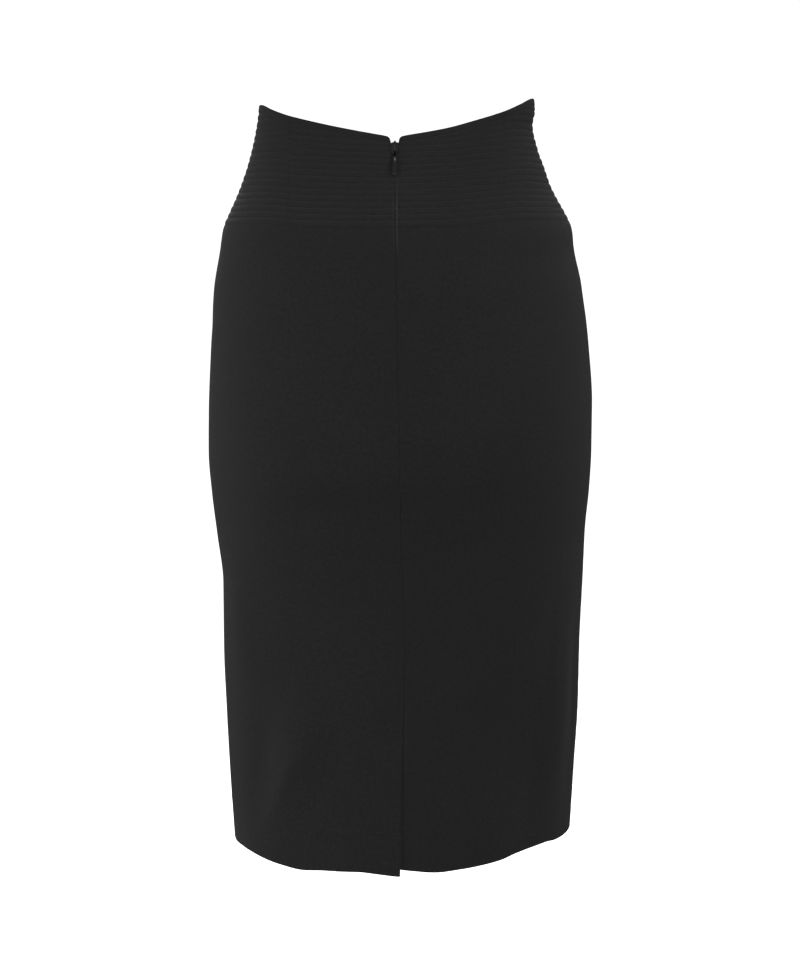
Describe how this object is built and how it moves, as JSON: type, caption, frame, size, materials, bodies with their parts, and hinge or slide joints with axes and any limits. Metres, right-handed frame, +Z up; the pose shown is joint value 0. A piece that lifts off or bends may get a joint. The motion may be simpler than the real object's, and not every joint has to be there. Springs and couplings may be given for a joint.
{
  "type": "pencil skirt",
  "caption": "High-waisted knee-length pencil skirt, filled out as worn, with a ribbed waist yoke, a back zip and a back vent.",
  "frame": {"origin": "middle of the waist opening, at the height where the wearer's waist holds the skirt, 17 mm below the centre back's top edge", "axes": "+Z up along the skirt, -Y out of the front, +X towards the wearer's left"},
  "size_m": [0.3511, 0.2619, 0.6879],
  "materials": {
    "crepe": "matte, fine crepe weave, black",
    "ribbed_crepe": "matte, quilted in rows, black",
    "zip_tape": "matte, woven, black",
    "black_enamel": "gloss black"
  },
  "bodies": {
    "skirt": {"yoke_front": "ribbed_crepe", "yoke_side_left": "ribbed_crepe", "yoke_side_right": "ribbed_crepe", "yoke_back_left": "ribbed_crepe", "yoke_back_right": "ribbed_crepe", "skirt_front": "crepe", "skirt_back_left": "crepe", "skirt_back_right": "crepe", "vent_underlap": "crepe", "zip_tape_left": "zip_tape", "zip_tape_right": "zip_tape", "zip_slider": "black_enamel"},
    "pull": {"zip_pull": "black_enamel"}
  },
  "joints": [
    {"name": "pull_swing", "type": "hinge", "parent": "skirt", "child": "pull", "pos_m": [0.00263, 0.09225, 0.00569], "axis": [1, 0, 0], "range_deg": [0, 150]}
  ]
}
